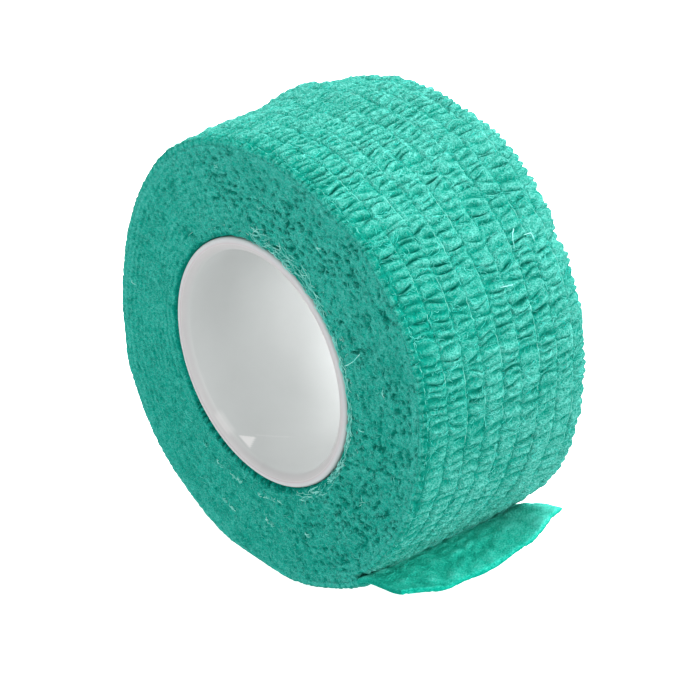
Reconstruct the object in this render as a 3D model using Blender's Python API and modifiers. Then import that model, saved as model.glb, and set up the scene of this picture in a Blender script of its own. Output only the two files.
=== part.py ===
"""Cohesive bandage roll: one narrow strip of crinkled elastic cloth wound on a plastic core.

Metres, +Z up. The roll lies on its rim with its axis along Y. Its front face looks along -Y,
and the cut end of the strip lifts off the rim towards +X. The origin is on the surface that the
roll rests on, below the middle of its axis, within its small flat spot.

Angles round the roll are in degrees, counted from straight down (0) towards +X (90), the top (180)
and -X (270), which is also the way the strip is wound.
"""
from math import cos, pi, radians, sin

import bmesh
import bpy

MM = 0.001
COLLECTION = "cohesive_bandage_roll"

# Driving sizes, in metres.
BAND_WIDTH = 25.0 * MM
LAYER = 1.0 * MM
CLEARANCE = 0.3 * MM
AXIS_HEIGHT = 28.75 * MM

CORE_OUTER_RADIUS = 15.9 * MM
CORE_WALL = 1.7 * MM
CORE_PROUD = 0.15 * MM
CORE_LIP_OUTER = 0.35 * MM
CORE_LIP_INNER = 0.8 * MM
CORE_STEPS = 96

WIND_INNER_RADIUS = CORE_OUTER_RADIUS + CLEARANCE
WIND_START_RADIUS = 27.9 * MM
WIND_STEP = LAYER + CLEARANCE
BACK_FLARE = 1.3 * MM
FACE_DISH = 0.3 * MM
RIM_ROUND = 0.8 * MM
RIM_STEPS = 3
TREAD_STEPS = 4

# Where the outer turn leaves the roll, and the steps that the solid takes round it.
LEAVE_ANGLE = 39.0
STEP_FACE_ANGLE = 0.4
ROUND_STEPS = 144

# How the hand-soft winding departs from a true spiral: its lobes, how high they stand in mm, and
# the angle of one high side in degrees.
LOBES, LOBE_HEIGHT, LOBE_SIDE = range(3)
UNEVEN_ROWS = (
    (1, 0.60, 73.0),
    (2, 0.75, 137.0),
    (3, 0.25, 87.0),
    (4, 0.30, 36.0),
)

# The cut end of the loose strip at five places across the width, from the front edge (-1) to the
# back edge (1): how far it reaches out and rises from where it leaves, in mm, and the slope of its
# last stretch in degrees.
ACROSS, REACH, RISE, END_SLOPE = range(4)
LOOSE_ROWS = (
    (-1.0, 6.4, 2.1, 24.0),
    (-0.5, 8.7, 1.5, 6.0),
    (0.0, 9.7, 1.7, 0.0),
    (0.5, 10.0, 2.7, 6.0),
    (1.0, 9.1, 4.4, 14.0),
)
LOOSE_ROOT_PULL = 0.28
LOOSE_END_PULL = 0.35
LOOSE_RUN_STEPS = 10
LOOSE_ACROSS_STEPS = 12

# Colour, roughness and metallic value of each material, from the photo.
TEAL = (0.035, 0.50, 0.36, 1.0)
TEAL_INSIDE = (0.04, 0.42, 0.31, 1.0)
WHITE = (0.78, 0.79, 0.78, 1.0)


def clear_scene():
    for old in list(bpy.data.objects):
        bpy.data.objects.remove(old, do_unlink=True)


def make_material(name, colour, roughness):
    material = bpy.data.materials.new(name)
    material.use_nodes = True
    shader = material.node_tree.nodes["Principled BSDF"]
    shader.inputs["Base Color"].default_value = colour
    shader.inputs["Roughness"].default_value = roughness
    shader.inputs["Metallic"].default_value = 0.0
    return material


def make_object(name, mesh, collection, material):
    piece = bpy.data.objects.new(name, mesh)
    collection.objects.link(piece)
    mesh.materials.append(material)
    return piece


def shade_round(mesh, sharp_degrees):
    mesh.shade_smooth()
    mesh.set_sharp_from_angle(angle=radians(sharp_degrees))


def corner_arc(centre_across, centre_along, radius, start_degrees, end_degrees, steps):
    """Points of a rounded corner, both ends included."""
    points = []
    for step in range(steps + 1):
        turn = radians(start_degrees + (end_degrees - start_degrees) * step / steps)
        points.append((centre_across + radius * cos(turn), centre_along + radius * sin(turn)))
    return points


def core_profile():
    """The tube's wall: down its outer side, round the lower lip, up its inner side and back."""
    half = BAND_WIDTH / 2 + CORE_PROUD
    outer = CORE_OUTER_RADIUS
    inner = CORE_OUTER_RADIUS - CORE_WALL
    points = []
    points += corner_arc(outer - CORE_LIP_OUTER, half - CORE_LIP_OUTER, CORE_LIP_OUTER, 90, 0, 3)
    points += corner_arc(outer - CORE_LIP_OUTER, CORE_LIP_OUTER - half, CORE_LIP_OUTER, 0, -90, 3)
    points += corner_arc(inner + CORE_LIP_INNER, CORE_LIP_INNER - half, CORE_LIP_INNER, 270, 180, 4)
    points += corner_arc(inner + CORE_LIP_INNER, half - CORE_LIP_INNER, CORE_LIP_INNER, 180, 90, 4)
    return points


def build_core(collection, material):
    """The moulded tube: its wall's profile turned once round the roll's axis."""
    mesh = bpy.data.meshes.new("core")
    profile = bmesh.new()
    corners = [profile.verts.new((across, 0.0, along)) for across, along in core_profile()]
    for index, corner in enumerate(corners):
        profile.edges.new((corner, corners[(index + 1) % len(corners)]))
    profile.to_mesh(mesh)
    profile.free()
    core = make_object("core", mesh, collection, material)
    core.location = (0.0, 0.0, AXIS_HEIGHT)
    core.rotation_euler = (pi / 2, 0.0, 0.0)
    turn = core.modifiers.new("turn", "SCREW")
    turn.axis = "Z"
    turn.steps = CORE_STEPS
    turn.render_steps = CORE_STEPS
    turn.use_merge_vertices = True
    turn.merge_threshold = 0.00001
    turn.use_smooth_shade = True
    return core


def flare(angle):
    """How much of the back rim's extra size shows here: none where the roll lies on its rim."""
    return 1.0 - cos(radians(angle) / 2) ** 8


def wind_radius(angle, along):
    """Radius of the wound form: a spiral of one layer a turn, its unevenness and its flare."""
    wound = ((angle - LEAVE_ANGLE) % 360.0) / 360.0
    radius = WIND_START_RADIUS + WIND_STEP * wound
    for row in UNEVEN_ROWS:
        radius += row[LOBE_HEIGHT] * MM * cos(row[LOBES] * radians(angle - row[LOBE_SIDE]))
    towards_back = along / BAND_WIDTH + 0.5
    return radius + BACK_FLARE * flare(angle) * towards_back


def round_the_axis(angle, radius, along):
    """A point at this angle and radius, not lower than the surface that the roll lies on."""
    turn = radians(angle)
    height = AXIS_HEIGHT - radius * cos(turn)
    return (radius * sin(turn), along, max(height, 0.0))


def wind_section(angle):
    """The winding cut across at one angle, from the core's front round the rim to its back."""
    half = BAND_WIDTH / 2
    edge = half - RIM_ROUND
    face = [(WIND_INNER_RADIUS, FACE_DISH - half)]
    face.append(((WIND_INNER_RADIUS + WIND_START_RADIUS) / 2, FACE_DISH / 3 - half))
    section = [round_the_axis(angle, radius, along) for radius, along in face]
    for across, along in corner_arc(0.0, -edge, RIM_ROUND, 270, 360, RIM_STEPS):
        radius = wind_radius(angle, along) - RIM_ROUND + across
        section.append(round_the_axis(angle, radius, along))
    for step in range(1, TREAD_STEPS):
        along = edge * (2 * step / TREAD_STEPS - 1)
        section.append(round_the_axis(angle, wind_radius(angle, along), along))
    for across, along in corner_arc(0.0, edge, RIM_ROUND, 0, 90, RIM_STEPS):
        radius = wind_radius(angle, along) - RIM_ROUND + across
        section.append(round_the_axis(angle, radius, along))
    section += [round_the_axis(angle, radius, -along) for radius, along in reversed(face)]
    return section


def build_roll(collection, material):
    """The wound strip: a loft of its unlike sections, closed by the step of the outer turn."""
    last = 360.0 - STEP_FACE_ANGLE
    mesh = bpy.data.meshes.new("roll")
    loft = bmesh.new()
    rings = []
    for step in range(ROUND_STEPS + 1):
        # The last section's angle stays just short of a full turn, so it has the spiral's end size.
        angle = LEAVE_ANGLE + last * step / ROUND_STEPS
        rings.append([loft.verts.new(point) for point in wind_section(angle)])
    for index, ring in enumerate(rings):
        following = rings[(index + 1) % len(rings)]
        for corner in range(len(ring)):
            across = (corner + 1) % len(ring)
            loft.faces.new((ring[corner], following[corner], following[across], ring[across]))
    bmesh.ops.recalc_face_normals(loft, faces=loft.faces)
    loft.to_mesh(mesh)
    loft.free()
    shade_round(mesh, 50)
    return make_object("roll", mesh, collection, material)


def loose_end_row(across):
    """The cut end's reach, rise and slope at one place across the width, smoothly between rows."""
    for near, far in zip(LOOSE_ROWS, LOOSE_ROWS[1:]):
        if across <= far[ACROSS]:
            break
    share = (across - near[ACROSS]) / (far[ACROSS] - near[ACROSS])
    eased = share * share * (3 - 2 * share)
    mixed = (share + eased) / 2
    return [near[column] + (far[column] - near[column]) * mixed for column in (REACH, RISE, END_SLOPE)]


def loose_end_point(run, across):
    """A point of the loose strip's middle: run 0 at the roll to 1 at the cut, on a smooth curve."""
    reach, rise, slope = loose_end_row(across)
    along = across * BAND_WIDTH / 2
    root_angle = LEAVE_ANGLE + 360.0 * CLEARANCE / (2 * pi * WIND_START_RADIUS)
    radius = wind_radius(root_angle, along) + CLEARANCE + LAYER / 2
    root_x, _, root_z = round_the_axis(root_angle, radius, along)
    end_x = root_x + reach * MM
    end_z = root_z + rise * MM
    pull = LOOSE_ROOT_PULL * reach * MM
    push = LOOSE_END_PULL * reach * MM
    second = (root_x + pull * cos(radians(root_angle)), root_z + pull * sin(radians(root_angle)))
    third = (end_x - push * cos(radians(slope)), end_z - push * sin(radians(slope)))
    weights = ((1 - run) ** 3, 3 * run * (1 - run) ** 2, 3 * run * run * (1 - run), run ** 3)
    places = ((root_x, root_z), second, third, (end_x, end_z))
    x = sum(weight * place[0] for weight, place in zip(weights, places))
    z = sum(weight * place[1] for weight, place in zip(weights, places))
    return (x, along, z)


def build_loose_end(collection, material):
    """The free end of the strip: a grid bent to its curl, given the thickness of one layer."""
    mesh = bpy.data.meshes.new("loose_end")
    sheet = bmesh.new()
    bmesh.ops.create_grid(sheet, x_segments=LOOSE_RUN_STEPS, y_segments=LOOSE_ACROSS_STEPS, size=1.0)
    for corner in sheet.verts:
        corner.co = loose_end_point((corner.co.x + 1) / 2, corner.co.y)
    sheet.to_mesh(mesh)
    sheet.free()
    shade_round(mesh, 50)
    loose_end = make_object("loose_end", mesh, collection, material)
    thickness = loose_end.modifiers.new("thickness", "SOLIDIFY")
    thickness.thickness = LAYER
    thickness.offset = 0.0
    return loose_end


def main():
    clear_scene()
    collection = bpy.data.collections.new(COLLECTION)
    bpy.context.scene.collection.children.link(collection)
    build_core(collection, make_material("core_plastic", WHITE, 0.35))
    build_roll(collection, make_material("bandage", TEAL, 0.9))
    build_loose_end(collection, make_material("bandage_loose", TEAL_INSIDE, 0.9))


main()
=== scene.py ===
"""Looks of a cohesive bandage roll: crinkled elastic cloth wound on a white plastic tube.

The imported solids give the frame: metres, +Z up, the roll's axis along Y at AXIS_HEIGHT, its front
face along -Y and the lifted cut end towards +X. Shapes are worked out here in millimetres, in angle
round the axis (degrees from straight down, towards +X), radius, and place along the axis.
"""
from math import cos, pi, radians, sin

import bpy
import numpy as np
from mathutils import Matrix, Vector


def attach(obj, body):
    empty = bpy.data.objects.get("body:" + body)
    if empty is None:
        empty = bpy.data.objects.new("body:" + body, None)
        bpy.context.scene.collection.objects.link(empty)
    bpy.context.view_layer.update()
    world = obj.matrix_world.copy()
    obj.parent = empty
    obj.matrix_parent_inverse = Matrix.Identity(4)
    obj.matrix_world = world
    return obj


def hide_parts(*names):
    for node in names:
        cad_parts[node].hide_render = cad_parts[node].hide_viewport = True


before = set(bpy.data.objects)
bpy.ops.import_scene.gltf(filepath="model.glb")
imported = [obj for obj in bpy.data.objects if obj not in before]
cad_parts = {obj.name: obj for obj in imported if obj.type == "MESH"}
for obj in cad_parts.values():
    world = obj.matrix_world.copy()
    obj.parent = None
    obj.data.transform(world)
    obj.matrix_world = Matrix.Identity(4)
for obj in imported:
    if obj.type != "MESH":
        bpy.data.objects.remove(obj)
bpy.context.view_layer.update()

MM = 0.001
MM_PER_M = 1000.0

# The solids' own sizes, in mm and degrees.
HALF_WIDTH = 12.5
LAYER = 1.0
CLEARANCE = 0.3
AXIS_HEIGHT = 28.75
CORE_OUTER = 15.9
CORE_WALL = 1.7
CORE_INNER = CORE_OUTER - CORE_WALL
WIND_START = 27.9
WIND_STEP = 1.3
BACK_FLARE = 1.3
FACE_DISH = 0.3
LEAVE_ANGLE = 39.0
# Waves that make the winding uneven: how many go round it, their height, and the angle of a crest.
UNEVEN_ROWS = ((1, 0.60, 73.0), (2, 0.75, 137.0), (3, 0.25, 87.0), (4, 0.30, 36.0))
# The lifted end at places across its width, from -1 to 1: its reach, its rise, its edge's slope.
LOOSE_ROWS = (
    (-1.0, 6.4, 2.1, 24.0),
    (-0.5, 8.7, 1.5, 6.0),
    (0.0, 9.7, 1.7, 0.0),
    (0.5, 10.0, 2.7, 6.0),
    (1.0, 9.1, 4.4, 14.0),
)
# How stiffly the lifted end leaves its root and comes to its edge, as shares of its reach.
LOOSE_ROOT_PULL = 0.28
LOOSE_END_PULL = 0.35

# Swells of the outer turn: angle, its spread, place along the axis, its spread, height.
SWELLS = (
    (40, 8.5, 0.6, 10, 1.12),
    (44, 5.5, -8.2, 3.6, 0.38),
    (66, 22, 12.5, 9, 0.80),
    (150, 18, 12.5, 9, 1.08),
    (180, 14, 12.5, 8, 0.50),
    (206, 12, 12.5, 6, -0.30),
    (126.5, 2.6, 12.5, 2.5, -0.70),
    (214, 22, 6.2, 3.2, 1.20),
    (214, 20, -5, 5, 0.16),
    (292, 5, -12.5, 4, 0.36),
    (327, 9, -12.5, 6, -0.24),
    (349, 13, -12.5, 8, 0.24),
    (371, 14, -12.5, 6, 0.28),
    (318, 34, -12.5, 8, 0.32),
    (141.5, 4, -12.5, 2, 0.28),
    (149.5, 2, -12.5, 1.6, -0.25),
)

# The crinkled outer turn starts under the lifted end. Each of its columns has so many puffs, and
# the big ones nearest to its start are longer.
OUTER_START = 30.0
OUTER_END = LEAVE_ANGLE + 360.0
MEAN_RADIUS = 28.9
CELLS = 176
BIG_CELLS = 22
BIG_PITCH = 1.45
# Points along one puff, as shares of its length, and lines of points across one column.
CELL_STEPS = (0.0, 0.10, 0.28, 0.52, 0.74, 0.91)
ACROSS_STEPS = (-1.0, -0.92, -0.74, -0.48, -0.16, 0.16, 0.48, 0.74, 0.92)
FRONT_COLUMN_STEPS = (0.25, 0.55, 0.85)
BACK_COLUMN_STEPS = (-1.0, -0.88, -0.62, -0.3, 0.1)
BACK_COLUMN_END = 0.5
# Elastic threads, by their place along the axis, and the outermost lines of points.
THREAD_LINES = (-11.7, -8.8, -5.9, -3.2, -0.4, 2.3, 5.2, 7.9, 10.6)
SKIN_EDGE = 12.05

rng = np.random.default_rng(11)


# ---- numbers

def lattice(ix, iy, seed):
    """A steady pseudo-random number from -1 to 1 for each whole-number place."""
    n = ix.astype(np.int64) * 374761393 + iy.astype(np.int64) * 668265263 + seed * 974634777
    n = n & 0xFFFFFFFF
    n = ((n ^ (n >> 13)) * 1274126177) & 0xFFFFFFFF
    n = n ^ (n >> 16)
    return (n & 0xFFFF) / 32767.5 - 1.0


def noise(x, y, seed):
    """Smooth noise from -1 to 1 over a plane, one feature a unit."""
    x = np.asarray(x, float)
    y = np.asarray(y, float) + np.zeros_like(x)
    x = x + np.zeros_like(y)
    ix = np.floor(x)
    iy = np.floor(y)
    fx = x - ix
    fy = y - iy
    fx = fx * fx * (3 - 2 * fx)
    fy = fy * fy * (3 - 2 * fy)
    low = lattice(ix, iy, seed) * (1 - fx) + lattice(ix + 1, iy, seed) * fx
    high = lattice(ix, iy + 1, seed) * (1 - fx) + lattice(ix + 1, iy + 1, seed) * fx
    return low * (1 - fy) + high * fy


def smooth(x, low, high):
    """From 0 at low to 1 at high, eased at both ends."""
    share = np.clip((np.asarray(x, float) - low) / (high - low), 0, 1)
    return share * share * (3 - 2 * share)


def hump(x, low, full, falling, high):
    """From 0 at low up to 1 at full, and from 1 at falling down to 0 at high."""
    return smooth(x, low, full) * smooth(high - x, 0, high - falling)


def unit(vectors):
    """The same directions at length 1."""
    return vectors / np.maximum(np.linalg.norm(vectors, axis=-1, keepdims=True), 1e-9)


def spiral_radius(angle, along):
    """Radius of the wound form, along its spiral without a jump at the full turn."""
    radius = WIND_START + WIND_STEP * (angle - LEAVE_ANGLE) / 360.0
    for lobes, height, side in UNEVEN_ROWS:
        radius = radius + height * np.cos(lobes * np.radians(angle - side))
    flare = 1.0 - np.cos(np.radians(angle) / 2) ** 8
    return radius + BACK_FLARE * flare * (along / (2 * HALF_WIDTH) + 0.5)


def form_radius(angle, along):
    """Radius of the roll with the places where its outer turn stands out a little or is pulled in."""
    radius = spiral_radius(angle, along)
    for turn, spread, middle, width, height in SWELLS:
        away = (angle - turn + 180.0) % 360.0 - 180.0
        radius = radius + height * np.exp(-(away / spread) ** 2 - ((along - middle) / width) ** 2)
    return radius


def place(angle, radius, along):
    """Points in mm at this angle, radius and place along the axis, on or above the floor."""
    turn = np.radians(angle)
    x = radius * np.sin(turn)
    z = AXIS_HEIGHT - radius * np.cos(turn)
    y = along + np.zeros_like(x)
    return np.stack([x, y, np.maximum(z, 0.0)], axis=-1)


# ---- meshes

def show(name, data):
    """An object in the scene with this mesh, lamp or camera."""
    shown = bpy.data.objects.new(name, data)
    bpy.context.scene.collection.objects.link(shown)
    return shown


def make_piece(name, points, faces, material, values=None):
    """A piece from points in mm, with a value from 0 to 1 for each of them that sets its tone, painted
    light and shade included.
    """
    mesh = bpy.data.meshes.new(name)
    mesh.from_pydata((np.asarray(points) * MM).tolist(), [], faces)
    mesh.update()
    if values is not None:
        tone_and_painted_light = mesh.attributes.new("tone_and_painted_light", "FLOAT", "POINT")
        tone_and_painted_light.data.foreach_set("value", np.asarray(values, np.float32).ravel())
    mesh.shade_smooth()
    mesh.materials.append(material)
    piece = show(name, mesh)
    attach(piece, "root")
    return piece


def quads_between(here, following):
    """Quads between rings of point numbers and the rings that follow them."""
    around = [here, np.roll(here, -1, -1), np.roll(following, -1, -1), following]
    return np.stack(around, axis=-1).reshape(-1, 4).tolist()


def ring_faces(rows, ring, close_rows=False):
    """Quads over rows of closed rings, with a cap on each end unless the rows close too."""
    index = np.arange(rows * ring).reshape(rows, ring)
    if close_rows:
        return quads_between(index, np.roll(index, -1, axis=0))
    return quads_between(index[:-1], index[1:]) + [index[0][::-1].tolist(), index[-1].tolist()]


# Radius of a thread at its tips, as a share of its own.
TIP_SHARE = 0.55


def tubes(name, paths, thick, material, sides=3):
    """Many thin round threads in one mesh. paths is (threads, points, 3), thick the radius in mm."""
    count, steps, _ = paths.shape
    thick = np.reshape(thick, (-1, 1, 1))
    ahead = unit(np.gradient(paths, axis=1))
    level = np.zeros_like(ahead)
    level[..., 2] = 1.0
    level[np.abs(ahead[..., 2]) > 0.8] = (1.0, 0.0, 0.0)
    first = unit(np.cross(ahead, level))
    second = np.cross(ahead, first)
    taper = np.ones(steps)
    taper[0] = TIP_SHARE
    taper[-1] = TIP_SHARE
    rings = []
    for side in range(sides):
        turn = 2 * pi * side / sides
        out = first * cos(turn) + second * sin(turn)
        rings.append(paths + out * thick * taper[None, :, None])
    points = np.stack(rings, axis=2).reshape(-1, 3)
    points[:, 2] = np.maximum(points[:, 2], 0.0)
    index = np.arange(count * steps * sides).reshape(count, steps, sides)
    faces = quads_between(index[:, :-1], index[:, 1:])
    faces += index[:, 0, ::-1].tolist()
    faces += index[:, -1].tolist()
    make_piece(name, points, faces, material)


# ---- materials

def new_material(name, looks):
    """A material with the shader inputs that looks works out, in the piece's own space."""
    material = bpy.data.materials.new(name)
    material.use_nodes = True
    tree = material.node_tree
    where = add_node(tree, "ShaderNodeTexCoord").outputs["Object"]
    feed(tree, tree.nodes["Principled BSDF"], looks(tree, where))
    return material


def feed(tree, node, inputs):
    """Sets inputs of a node, each to a plain value or by a link from another node's output."""
    for name, value in inputs.items():
        if isinstance(value, bpy.types.NodeSocket):
            tree.links.new(value, node.inputs[name])
        else:
            node.inputs[name].default_value = value


def add_node(tree, kind, inputs=None, **settings):
    node = tree.nodes.new(kind)
    for key, value in settings.items():
        setattr(node, key, value)
    feed(tree, node, inputs or {})
    return node


def ramp(tree, source, stops):
    """Colour that runs from stop to stop, each a position and a colour."""
    node = add_node(tree, "ShaderNodeValToRGB", {"Fac": source})
    elements = node.color_ramp.elements
    while len(elements) > 1:
        elements.remove(elements[-1])
    elements[0].position, elements[0].color = stops[0][0], (*stops[0][1], 1.0)
    for position, colour in stops[1:]:
        elements.new(position).color = (*colour, 1.0)
    return node.outputs["Color"]


def mix(tree, factor, first, second):
    inputs = {"Factor": factor, "A": first, "B": second}
    return add_node(tree, "ShaderNodeMix", inputs, data_type="RGBA").outputs["Result"]


def textured(tree, where, per_mm, detail=0.0, rough=0.5):
    """Noise in the object's own space, with so many features a mm along each axis."""
    scale = [MM_PER_M * x for x in per_mm]
    stretched = add_node(tree, "ShaderNodeMapping", {"Vector": where, "Scale": scale})
    grain = add_node(tree, "ShaderNodeTexNoise", {
        "Vector": stretched.outputs["Vector"], "Scale": 1.0, "Detail": detail, "Roughness": rough})
    return grain.outputs["Fac"]


def bumps(tree, height, distance, strength=1.0):
    """Normals of fine relief, so many mm high."""
    inputs = {"Height": height, "Distance": distance * MM, "Strength": strength}
    return add_node(tree, "ShaderNodeBump", inputs).outputs["Normal"]


# The value each point carries: its tone, with painted light and shade in it.
def tone_and_painted_light_value(tree):
    return add_node(tree, "ShaderNodeAttribute", attribute_name="tone_and_painted_light").outputs["Fac"]


def math(tree, operation, *values, clamp=False):
    """A sum on numbers and on the outputs of other nodes."""
    settings = {"operation": operation, "use_clamp": clamp}
    return add_node(tree, "ShaderNodeMath", dict(enumerate(values)), **settings).outputs["Value"]


def in_mm(tree, length):
    return math(tree, "MULTIPLY", length, MM_PER_M)


# How close fibres and grain lie in the cloth, in features a mm, and how wide a fibre shows.
LONG_STRANDS = 1.9
SHORT_STRANDS = 2.7
GRAIN = 5.6
PATCHES = 0.8
STRAND_WIDTH = 0.06


def strands(tree, where, per_mm):
    """Thin curly lines, 1 on a line and 0 away from it, where a smooth noise crosses its middle."""
    away = math(tree, "ABSOLUTE", math(tree, "SUBTRACT", textured(tree, where, per_mm, 1.0), 0.5))
    return math(tree, "SUBTRACT", 1.0, math(tree, "DIVIDE", away, STRAND_WIDTH), clamp=True)


def cloth_material(name, colours, pale, close, strand_share, relief, contrast):
    """Fuzzy non-woven cloth laid with fine fibres, with painted shade in its hollows and a painted
    highlight on its crests.

    The colours run from the painted shade of hollows over slopes to the painted highlight of crests,
    and pale is that of the fibres on them.
    close says how close the fibres lie along each axis, and relief is their height in mm.
    """
    def looks(tree, where):
        tone_and_painted_light = tone_and_painted_light_value(tree)
        long_strands = strands(tree, where, [LONG_STRANDS * x for x in close])
        short_strands = strands(tree, where, [SHORT_STRANDS * x ** 0.5 for x in close])
        grain = textured(tree, where, [GRAIN * x ** 0.6 for x in close], detail=2.0, rough=0.65)
        patches = textured(tree, where, (PATCHES, PATCHES, PATCHES), detail=3.0, rough=0.6)
        laid = math(tree, "MAXIMUM", long_strands, math(tree, "MULTIPLY", short_strands, 0.8))
        # The colour level follows each point's value: painted shade where it is low, painted highlight
        # where it is high.
        level = math(tree, "MULTIPLY_ADD", tone_and_painted_light, 0.9, -0.35 - 0.5 * contrast)
        level = math(tree, "MULTIPLY_ADD", grain, contrast, level)
        level = math(tree, "MULTIPLY_ADD", patches, 0.8, level, clamp=True)
        colour = ramp(tree, level, tuple(zip((0.0, 0.5, 1.0), colours)))
        # The pale fibres show mostly where the value is high, as part of the painted highlight on the
        # crests.
        shown = math(tree, "MULTIPLY", laid, math(tree, "MULTIPLY_ADD", tone_and_painted_light, strand_share, 0.02))
        return {
            "Base Color": mix(tree, shown, colour, (*pale, 1.0)),
            "Normal": bumps(tree, math(tree, "MULTIPLY_ADD", laid, 0.22, grain), relief),
            "Roughness": 0.85,
            "Specular IOR Level": 0.01,
        }

    return new_material(name, looks)


def thread_material(name, dark, light, roughness):
    """Threads and fibres, a little uneven in colour."""
    def looks(tree, where):
        patches = textured(tree, where, (0.9, 0.9, 0.9), detail=2.0)
        return {
            "Base Color": ramp(tree, patches, ((0.3, dark), (0.7, light))),
            "Roughness": roughness,
            "Specular IOR Level": 0.03,
        }

    return new_material(name, looks)


# Colours of the tube's wall, and across its lip from the bore to the outside, and how deep into
# the bore the lip's reach.
WALL_COLOURS = ((0.3, (0.505, 0.525, 0.52)), (0.7, (0.53, 0.55, 0.545)))
# The outermost lip colour is painted shade, darker and tinted by the cloth, where the lip meets the
# cloth.
LIP_COLOURS = (
    (0.0, (0.48, 0.48, 0.48)),
    (0.10, (0.45, 0.445, 0.45)),
    (0.46, (0.455, 0.45, 0.45)),
    (0.51, (0.52, 0.52, 0.525)),
    (0.57, (0.48, 0.425, 0.44)),
    (0.64, (0.49, 0.49, 0.505)),
    (0.84, (0.52, 0.545, 0.555)),
    (0.95, (0.49, 0.53, 0.535)),
    (1.0, (0.30, 0.38, 0.37)),
)
# The colour of the gate mark, also used for the painted highlights on the lip and in the bore.
MARK_AND_HIGHLIGHT_COLOUR = (0.80, 0.79, 0.785, 1.0)
LIP_DEPTH = 0.75


def plastic_looks(tree, where):
    """White moulded plastic: slightly cloudy, paler on the gate mark and the painted highlights, and
    with painted shade tinted by the cloth at its lip's outer edge.
    """
    cloudy = textured(tree, where, (0.16, 0.16, 0.16), detail=3.0)
    wall = ramp(tree, cloudy, WALL_COLOURS)
    parts = add_node(tree, "ShaderNodeSeparateXYZ", {"Vector": where}).outputs
    up = in_mm(tree, math(tree, "SUBTRACT", parts["Z"], AXIS_HEIGHT * MM))
    aside = in_mm(tree, parts["X"])
    squared = math(tree, "MULTIPLY_ADD", up, up, math(tree, "MULTIPLY", aside, aside))
    from_bore = math(tree, "SUBTRACT", math(tree, "SQRT", squared), CORE_INNER)
    lip = ramp(tree, math(tree, "MULTIPLY", from_bore, 1.0 / CORE_WALL), LIP_COLOURS)
    outward = in_mm(tree, math(tree, "ABSOLUTE", parts["Y"]))
    past_wall = math(tree, "SUBTRACT", outward, HALF_WIDTH - LIP_DEPTH)
    at_end = math(tree, "MULTIPLY", past_wall, 1.6, clamp=True)
    shine = add_node(tree, "ShaderNodeMapRange", {"Value": cloudy, "To Min": 0.56, "To Max": 0.68})
    return {
        "Base Color": mix(tree, tone_and_painted_light_value(tree), mix(tree, at_end, wall, lip), MARK_AND_HIGHLIGHT_COLOUR),
        "Normal": bumps(tree, cloudy, 0.02, strength=0.2),
        "Roughness": shine.outputs["Result"],
        "Subsurface Weight": 0.25,
        "Subsurface Radius": (1.0, 1.0, 1.0),
        "Subsurface Scale": 0.8 * MM,
    }


TREAD_LOOKS = cloth_material(
    "bandage_looks", colours=((0.001, 0.272, 0.199), (0.011, 0.308, 0.232), (0.048, 0.374, 0.298)),
    pale=(0.20, 0.78, 0.68), close=(1.0, 0.66, 1.0), strand_share=0.62, relief=0.36, contrast=2.2)
FACE_LOOKS = cloth_material(
    "bandage_cut_looks", colours=((0.0, 0.315, 0.235), (0.012, 0.475, 0.360), (0.044, 0.61, 0.485)),
    pale=(0.17, 0.82, 0.72), close=(0.74, 1.0, 1.16), strand_share=0.62, relief=0.46, contrast=3.0)
LOOSE_LOOKS = cloth_material(
    "bandage_loose_looks", colours=((0.001, 0.31, 0.22), (0.022, 0.55, 0.41), (0.105, 0.70, 0.575)),
    pale=(0.14, 0.76, 0.64), close=(1.0, 0.5, 1.0), strand_share=0.22, relief=0.18, contrast=1.5)
FIBRE_LOOKS = thread_material("fibre_looks", (0.01, 0.54, 0.45), (0.17, 0.78, 0.69), 0.8)
ELASTIC_LOOKS = thread_material("elastic_looks", (0.06, 0.48, 0.39), (0.24, 0.72, 0.64), 0.6)
FRAY_LOOKS = thread_material("fray_looks", (0.06, 0.58, 0.49), (0.36, 0.88, 0.80), 0.7)
PALE_LOOKS = thread_material("pale_thread_looks", (0.20, 0.84, 0.75), (0.50, 0.96, 0.90), 0.7)
PLASTIC_LOOKS = new_material("core_plastic_looks", plastic_looks)


# ---- outer turn

def crease_table():
    """One column of puffs between two elastic threads: its creases and the puffs between them."""
    length = np.radians(OUTER_END - OUTER_START) * MEAN_RADIUS
    small_pitch = (length - BIG_CELLS * BIG_PITCH) / (CELLS - BIG_CELLS)
    count = CELLS + 1
    place_of = np.arange(count) + rng.uniform(-0.29, 0.29, count)
    base = place_of * BIG_PITCH + np.maximum(place_of - BIG_CELLS, 0) * (small_pitch - BIG_PITCH)
    base[0] = 0.0
    base[-1] = length
    return {
        "base": base,
        "slant": rng.normal(0, 0.20, count),
        "bow": rng.normal(0.02, 0.20, count),
        "kink": rng.normal(0, 0.22, count),
        "depth": np.clip(rng.normal(0.60, 0.17, count), 0.36, 0.95),
        "middle": rng.uniform(-0.50, 0.50, count),
        "reach": rng.uniform(0.8, 1.6, count),
        "crest": rng.normal(0.0, 0.07, CELLS),
        "lean": rng.normal(0.0, 0.15, CELLS),
        "skew": rng.uniform(0.70, 1.45, CELLS),
        "soft": rng.uniform(0.05, 0.70, CELLS),
    }


# Length of a puff at which it stands to its full height, in mm.
FULL_PUFF = 1.15


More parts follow.
